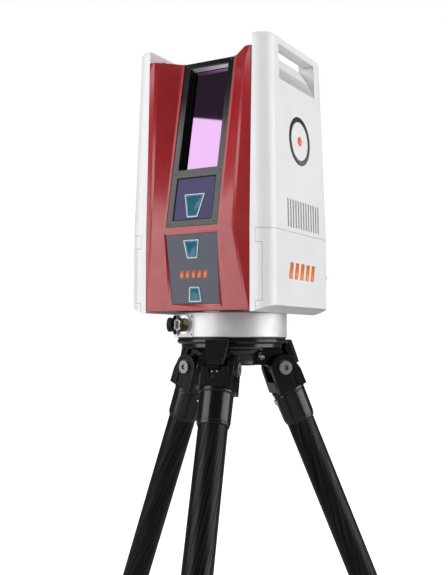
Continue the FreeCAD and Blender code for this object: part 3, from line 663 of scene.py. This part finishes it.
def window_details():
    face = flat("window_frame", (0, -1, 0.2))
    panes = {"mirror_window": ("mirror_gasket", 1.6, 0.9), "camera_window": ("camera_gasket", 0.9, 0.5)}
    for node, (name, width, height) in panes.items():
        place = flat(node, (0, -1, 0.2))
        back = place.inverted()
        local = [back @ point for point in corner_points(node)[1]]
        half, top = max(point.x for point in local) / MM, max(point.y for point in local) / MM
        line = rectangle(-half + width + 0.2, half - width - 0.2, width + 0.2, top - width - 0.2, 3)
        piece(name, border(line, width, -0.1, height, 0.2), "head", "black_rubber", None, place)
    mirror = flat("mirror_window", (0, -1, 0.2))
    back = mirror.inverted()
    local = [back @ point for point in corner_points("mirror_window")[1]]
    half, top = max(point.x for point in local) / MM, max(point.y for point in local) / MM
    # A pale strip along the recess ceiling above the mirror window; its pale colour is painted light falling from
    # below.
    strip = prism(rectangle(-half + 1.5, half - 1.5, top - 0.7, top + 0.05), 1.2, 9.5, 0.2)
    piece("recess_strip", strip, "head", "satin_aluminium", PAINTED_CEILING_LIGHT, mirror)
    spots = [(x, y) for x in (-39.2, 39.2) for y in (5, 84.8, FRAME_TOP - 4.6)]
    screws = [moved(socket_screw(1.9, 0.7, 0.9), at(x, y, -0.1, 20 * k)) for k, (x, y) in enumerate(spots)]
    piece("frame_screws", together(*screws), "head", "dark_metal", None, face)


def handle_details():
    for side, name in ((1, "right"), (-1, "left")):
        slope = flat(f"side_shell_{name}", (side, 0, 0.4))
        pad = prism(rectangle(-61, 61, 1.8, 25.4, 2.5), -0.3, 0.3, 0.1)
        piece(f"grip_pad_{name}", pad, "head", "white_shell", DOTTED, slope)


def rear_details():
    rear = flat("rear_cover", (0, 1, 0.02))
    low = rear.translation.z / MM
    spots = [(x, z - low) for x in (-68, 68) for z in COVER_SCREW_LEVELS]
    screws = [moved(socket_screw(3.2, 1.4, 1.6), at(x, y, -0.3, 25 * k)) for k, (x, y) in enumerate(spots)]
    piece("rear_screws", together(*screws), "head", "steel", None, rear)
    screen = flat("display", (0, 1, 0))
    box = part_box("display")
    half, height = (box[1].x - box[0].x) / 2 / MM, (box[1].z - box[0].z) / MM
    view = rectangle(-half + 7, half - 7, 9, height - 7, 1.5)
    bezel = border(rectangle(-half + 2.4, half - 2.4, 2.4, height - 2.4, 4), 2.2, -0.3, 1.0, 0.4)
    piece("display_bezel", bezel, "head", "black_rubber", None, screen)
    piece("display_view", prism(view, -0.1, 0.12), "head", "display_glass", SCREEN_GLOW, screen)
    tiles = [prism(rectangle(-44 + 31 * i, -18 + 31 * i, 20, 50, 2), 0.1, 0.26) for i in range(3)]
    tiles.append(prism(rectangle(-44, 44, 58, 63, 1), 0.1, 0.26))
    piece("display_tiles", together(*tiles), "head", "display_glass", TILE_GLOW, screen)
    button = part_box("power_button")
    centre = (button[0] + button[1]) / 2
    face = pose_matrix((centre.x, button[1].y, centre.z), (0, 1, 0), (1, 0, 0))
    glyph = border(circle(3.2, 48), 0.7, -0.1, 0.15)
    piece("power_ring", glyph, "power_button", "dark_plastic", TILE_GLOW, face)
    place = pose_matrix((centre.x, 0, centre.z), (0, 1, 0), (1, 0, 0))
    collar = lathe([(8.2, 115.2), (10.6, 115.2), (11, 115.6), (11, 117.6), (10.2, 118.3), (8.6, 118.3),
                    (8.2, 117.9)], 72, closed=True)
    piece("power_collar", collar, "head", "dark_metal", None, place)
    flap = prism(rectangle(-34, 34, 6, 34, 4), -0.2, 2.0, 0.8)
    tab = prism(rectangle(-8, 8, 30, 40, 3), 0.4, 3.2, 0.6)
    lower = flat("rear_cover", (0, 1, -0.06))
    piece("port_flap", together(flap, tab), "head", "black_rubber", None, lower @ at(0, 22 * MM, 0))


def top_details():
    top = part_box("top_cover")[1].z / MM
    screws = [moved(socket_screw(3.2, 1.2, 1.6), at(x, y, top - 3.2, 17 * k))
              for k, (x, y) in enumerate([(x, y) for x in (-78, 78) for y in (-48, 48)])]
    piece("top_screws", together(*screws), "head", "steel")
    threads = [(6.75, top - 13)]
    for i in range(9):
        z = top - 12.6 + 1.27 * i
        threads += [(6.75, z), (6.1, z + 0.62)]
    threads += [(6.75, top - 1.0), (7.6, top + 0.1), (11.8, top + 0.1), (12.2, top - 0.3), (12.2, top - 0.6),
                (7.4, top - 0.6), (7.4, top - 13)]
    piece("thread_insert", lathe(threads, 64, closed=True), "head", "steel")
    groove = border(rectangle(-83, 83, -53, 53, 9), 0.9, top - 3.1, top - 2.75, 0.2)
    piece("top_gasket", groove, "head", "black_rubber")


def door_details():
    for side, name in ((1, "right"), (-1, "left")):
        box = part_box(f"battery_door_{name}")
        x = side * (abs(box[1].x if side > 0 else box[0].x) - 0.0115)
        face = pose_matrix((x, box[1].y, DOOR_LATCH_LEVEL * MM), (0, 1, 0), (1, 0, 0))
        knob = lathe([(5.2, -0.6), (5.2, 0.3), (4.8, 0.6), (3.4, 0.6), (3.2, 0.3)], 48)
        blade = prism(rectangle(-2.9, 2.9, -0.55, 0.55, 0.3, 3), 0.2, 0.8)
        piece(f"door_latch_{name}", together(knob, blade), f"door_{name}", "white_shell", None, face)


# ------------------------------------------------------------------ base: ring, connector and cap
def base_details():
    face = flat("connector_boss", (-0.2, -1, 0))
    out = face.to_3x3().col[2].copy()
    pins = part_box("connector_contacts")
    middle = (pins[0] + pins[1]) / 2
    rim = flat("data_connector", out).translation.dot(out)
    place = metres(pose_matrix(middle + out * (rim - middle.dot(out)), out, face.to_3x3().col[0]))
    boss = (face.translation.dot(out) - rim) / MM

    def set_in(solid):
        return moved(solid, place)

    lip = lathe([(9.95, -9), (10.4, -0.6), (11.0, 0.25), (12.6, 0.5), (13.4, 0.1), (13.4, -0.6), (12, -0.6),
                 (10.3, -9)], 72, closed=True)
    grooves = [lathe([(9.95, -z), (9.35, -z - 0.4), (9.35, -z - 0.8), (9.95, -z - 1.2), (10.1, -z - 1.2),
                      (10.1, -z)], 72, closed=True) for z in (1.6, 3.4, 5.2)]
    piece("connector_collar", set_in(together(lip, *grooves)), "stand", "connector_shell")
    insert = lathe([(9.6, -11.5), (9.6, -9.8), (9.2, -9.4), (0.4, -9.4)], 64)
    piece("connector_insert", set_in(insert), "stand", "dark_plastic")
    notches = [moved(prism(rectangle(-1.1, 1.1, 8.6, 9.9, 0.4, 3), -9.6, -2.5, 0.2),
                     Matrix.Rotation(radians(a), 4, "Z")) for a in (0, 105, 255)]
    piece("connector_keys", set_in(together(*notches)), "stand", "connector_shell")
    spots = [(x, y) for x in (-14.4, 14.4) for y in (-15.0, 12.6)]
    screws = [moved(socket_screw(1.5, 0.6, 0.7), at(x, y, boss - 0.1, 30 * k))
              for k, (x, y) in enumerate(spots)]
    piece("boss_screws", set_in(together(*screws)), "stand", "dark_metal")
    setters = []
    for angle in (45, 105, 165):
        around = Matrix.Rotation(radians(angle), 4, "Z")
        spot = around @ Vector((RING_FACE, 0, RING_SCREW_LEVEL))
        hole = pose_matrix(spot, around @ Vector((1, 0, 0)), (0, 0, 1))
        setters.append(moved(socket_screw(2.6, 0.35, 1.3), hole))
    piece("ring_screws", together(*setters), "stand", "dark_metal")

    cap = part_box("connector_cap")
    hinge = Vector(JOINTS["cap_swing"]["pos_m"])
    middle = (cap[0] + cap[1]) / 2
    reach = Vector((middle.x - hinge.x, middle.y - hinge.y, 0)).normalized()
    grip = lathe([(9.9, -0.6), (10.3, -0.6), (10.75, -0.2), (10.75, 3.6), (10.3, 4.0), (9.9, 4.0)], 120,
                 closed=True, wave=lambda t: 0.16 * sin(30 * t))
    disc = metres(pose_matrix(hinge + reach * YOKE_REACH * MM, reach.cross((0, 0, 1)), (0, 0, 1)))
    piece("cap_rim", moved(grip, disc), "connector_cap", "black_rubber")


# ------------------------------------------------------------------ tripod
def lock_rib(angle):
    return 0.5 * max(-0.4, sin(24 * angle))


def tripod_details():
    pins = []
    for leg in LEGS:
        place = metres(arm_place(leg))
        axle = place @ Matrix.Rotation(pi / 2, 4, "X")
        pin = lathe([(0.3, -12.6), (3.2, -12.6), (3.6, -12.2), (3.6, 12.2), (3.2, 12.6), (0.3, 12.6)], 48)
        pins.append(moved(pin, axle @ at(*ARM_PIN_PLACE)))
        along = metres(leg_place(leg))
        stud = lathe([(1.5, -0.2), (1.5, 0.8), (1.1, 1.15), (0.3, 1.2)], 32)
        out, level = LATCH_STUD_PLACE
        studs = [moved(stud, along @ at(out, y, level) @ Matrix.Rotation(pi / 2, 4, "Y")) for y in (-4, 4)]
        piece(f"leg_{leg}_latch_pins", together(*studs), f"latch_{leg}", "steel")
        screw = moved(socket_screw(4.2, 3.6, 2.0),
                      along @ at(*CLAMP_SCREW_PLACE) @ Matrix.Rotation(-pi / 2, 4, "Y"))
        piece(f"leg_{leg}_clamp_screw", screw, f"leg_{leg}", "steel")
        washers = []
        for side in (-1, 1):
            disc = lathe([(6.6, 0.02), (12.2, 0.02), (12.6, 0.3), (11.2, 0.32), (6.6, 0.32)], 64, closed=True)
            tilt = Matrix.Rotation(-side * pi / 2, 4, "X")
            washers.append(moved(disc, along @ at(0, side * EAR_FACE, 0) @ tilt))
        piece(f"leg_{leg}_washers", together(*washers), f"leg_{leg}", "dark_metal")
        outline = [(26.3, -464), (27.1, -463), (27.1, -425), (26.3, -424), (25.9, -424), (25.9, -464)]
        ribs = skinned([ring(r, z, 144, wave=lock_rib if r > 26.5 else None) for r, z in outline], True)
        piece(f"leg_{leg}_lock_grip", moved(ribs, along), f"lock_{leg}", "black_rubber")
        tread = [lathe([(20.9, z), (21.5, z + 0.5), (21.5, z + 1.7), (20.9, z + 2.2), (20.6, z + 2.2),
                        (20.6, z)], 72, closed=True) for z in (-540, -535.6, -531.2, -526.8)]
        piece(f"leg_{leg}_foot_ribs", moved(together(*tread), along), f"lower_{leg}", "black_rubber")
    piece("arm_pins", together(*pins), "stand", "steel")


# ------------------------------------------------------------------ studio
def light(name, spot, target, size, power, glossy=True, roll=0.0):
    data = bpy.data.lights.new(name, "AREA")
    data.shape, data.size, data.size_y = "RECTANGLE", *size
    data.energy = power
    item = bpy.data.objects.new(name, data)
    bpy.context.scene.collection.objects.link(item)
    item.location = spot
    facing = (Vector(target) - Vector(spot)).to_track_quat("-Z", "Y").to_matrix()
    item.rotation_euler = (facing @ Matrix.Rotation(radians(roll), 3, "Z")).to_euler()
    item.visible_glossy = glossy
    item.visible_camera = False


# Softboxes stand upright round the object: name, angle, width, low and high edge, radiance, whether they show
# in reflections, and roll
SKY = 0.35
SKY_GLOSS = 0.07
BOX_REACH = 2.5
FLOOR_REACH = 40
BOXES = [("left_box", -124, 2.3, -0.58, 2.02, 3.0, True, 8), ("right_box", 19, 2.3, -0.52, 1.8, 3.1, True, 0),
         ("front_fill", -45, 1.6, 0.2, 1.6, 1.0, False, 0)]


def studio():
    world = bpy.data.worlds.new("studio")
    bpy.context.scene.world = world
    world.use_nodes = True
    tree = world.node_tree
    tree.nodes.clear()

    def node(kind, **values):
        made = tree.nodes.new(kind)
        for key, value in values.items():
            setattr(made, key, value)
        return made

    rays = node("ShaderNodeLightPath")
    strengths = {}
    for name, value in (("seen", 1.0), ("soft", SKY), ("glossy", SKY_GLOSS)):
        strengths[name] = node("ShaderNodeBackground")
        strengths[name].inputs["Color"].default_value = (1, 1, 1, 1)
        strengths[name].inputs["Strength"].default_value = value
    first, second = node("ShaderNodeMixShader"), node("ShaderNodeMixShader")
    tree.links.new(rays.outputs["Is Glossy Ray"], first.inputs[0])
    tree.links.new(strengths["soft"].outputs[0], first.inputs[1])
    tree.links.new(strengths["glossy"].outputs[0], first.inputs[2])
    tree.links.new(rays.outputs["Is Camera Ray"], second.inputs[0])
    tree.links.new(first.outputs[0], second.inputs[1])
    tree.links.new(strengths["seen"].outputs[0], second.inputs[2])
    tree.links.new(second.outputs[0], node("ShaderNodeOutputWorld").inputs[0])

    for name, angle, width, low, high, radiance, glossy, roll in BOXES:
        spot = (BOX_REACH * cos(radians(angle)), BOX_REACH * sin(radians(angle)), (low + high) / 2)
        light(name, spot, (0, 0, spot[2]), (width, high - low), radiance * pi * width * (high - low),
              glossy=glossy, roll=roll)
    light("top", (0.2, 0.5, 2.6), (0, 0, 0.2), (1.6, 1.6), 10, glossy=False)

    floor = bpy.data.objects.new("floor", bpy.data.meshes.new("floor"))
    corners = rectangle(-FLOOR_REACH, FLOOR_REACH, -FLOOR_REACH, FLOOR_REACH)
    floor.data.from_pydata([(x, y, 0) for x, y in corners], [], [(0, 1, 2, 3)])
    floor.location.z = cad_box[0].z - 0.0005
    bpy.context.scene.collection.objects.link(floor)
    paper = Paint("paper", (0.9, 0.9, 0.905), 0.8, Emission_Color=(1, 1, 1, 1), Specular_IOR_Level=0.0)
    paper.mottled(3, 0.01).uneven(20, 0.75, 0.85).grained(0.0001, 400, strength=0.1)
    seen = paper.node("ShaderNodeLightPath").outputs["Is Camera Ray"]
    paper.link(paper.mixed(seen, (0.46, 0.46, 0.465), paper.tint), paper.shader.inputs["Base Color"])
    paper.link(paper.math("MULTIPLY", seen, 0.8), paper.shader.inputs["Emission Strength"])
    floor.data.materials.append(paper.material)


CAMERA_AZIMUTH = 29.21
CAMERA_DISTANCE = 1.406
CAMERA_HEIGHT = 0.037
CAMERA_PITCH = 3.54
CAMERA_YAW = -0.515
CAMERA_LENS = 55.0


def camera():
    azimuth, yaw, pitch = radians(CAMERA_AZIMUTH), radians(CAMERA_YAW), radians(CAMERA_PITCH)
    back = Vector((sin(azimuth), -cos(azimuth), 0))
    right = Vector((cos(azimuth), sin(azimuth), 0))
    forward = -back * cos(yaw) + right * sin(yaw)
    right = forward.cross((0, 0, 1))
    look = forward * cos(pitch) + Vector((0, 0, 1)) * sin(pitch)
    data = bpy.data.cameras.new("camera")
    data.sensor_width, data.lens = 36, CAMERA_LENS
    data.clip_end = 100
    item = bpy.data.objects.new("camera", data)
    bpy.context.scene.collection.objects.link(item)
    place = Matrix((right, right.cross(look), -look)).transposed().to_4x4()
    place.translation = back * CAMERA_DISTANCE + Vector((0, 0, CAMERA_HEIGHT))
    item.matrix_world = place
    bpy.context.scene.camera = item


def glowing(name, colour, glow):
    paint = Paint(name, colour, 0.12, Emission_Color=(*colour, 1), Emission_Strength=glow,
                  Specular_IOR_Level=0.25)
    return paint.mottled(60, 0.1).uneven(90, 0.1, 0.18)


LENS_CORE = glowing("lens_core", (0.025, 0.13, 0.20), 0.05)
SCREEN_GLOW = glowing("screen_glow", (0.02, 0.05, 0.09), 0.6)
TILE_GLOW = glowing("tile_glow", (0.25, 0.42, 0.55), 0.8)

dress_nodes()
panel_face = flat("lower_panel", (0, -1, -0.1))
camera_face = flat("window_frame", (0, -1, 0.2))
lenses = sorted(islands("indicator_lenses"), key=lambda points: -max(point.z for point in points))
lens_rims([(lenses[0], camera_face), (lenses[1], panel_face), (lenses[2], panel_face)])
marks()
window_details()
handle_details()
rear_details()
top_details()
door_details()
base_details()
tripod_details()
studio()
camera()
bpy.context.scene.view_settings.view_transform = "Standard"
